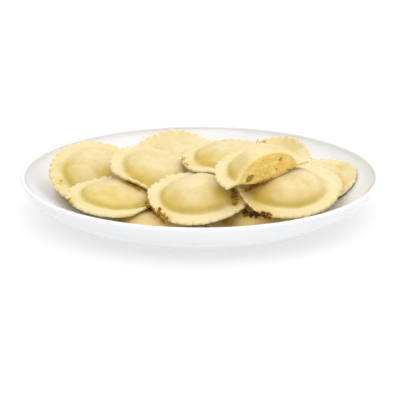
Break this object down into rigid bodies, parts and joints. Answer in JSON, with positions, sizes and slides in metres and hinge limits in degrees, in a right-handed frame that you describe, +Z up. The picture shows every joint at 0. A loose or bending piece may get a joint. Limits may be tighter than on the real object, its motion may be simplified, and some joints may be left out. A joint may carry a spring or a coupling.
{
  "type": "plate of ravioli",
  "caption": "Round white coupe plate heaped with round serrated ravioli, a front one cut open to show its filling.",
  "frame": {"origin": "centre of the plate's foot, on the table", "axes": "+Z up, the plate's axis of rotation; -Y the side that the heap is seen from, where the cut raviolo lies in front; +X to the right as seen from -Y"},
  "size_m": [0.22, 0.22, 0.0584],
  "materials": {
    "white_porcelain": "glossy",
    "pasta_dough": "satin",
    "pasta_filling": "matte"
  },
  "bodies": {
    "root": {"plate": "white_porcelain", "raviolo_back_centre": "pasta_dough", "raviolo_back_right": "pasta_dough", "raviolo_left": "pasta_dough", "raviolo_right": "pasta_dough", "raviolo_under_front_left": "pasta_dough", "raviolo_under_front_right": "pasta_dough", "raviolo_under_middle": "pasta_dough", "raviolo_under_left": "pasta_dough", "raviolo_front_left": "pasta_dough", "raviolo_centre_left": "pasta_dough", "raviolo_behind_front_right": "pasta_dough", "raviolo_front_centre": "pasta_dough", "raviolo_front_right": "pasta_dough", "raviolo_centre_right": "pasta_dough", "raviolo_cut": "pasta_dough", "raviolo_filling": "pasta_filling"}
  },
  "joints": []
}
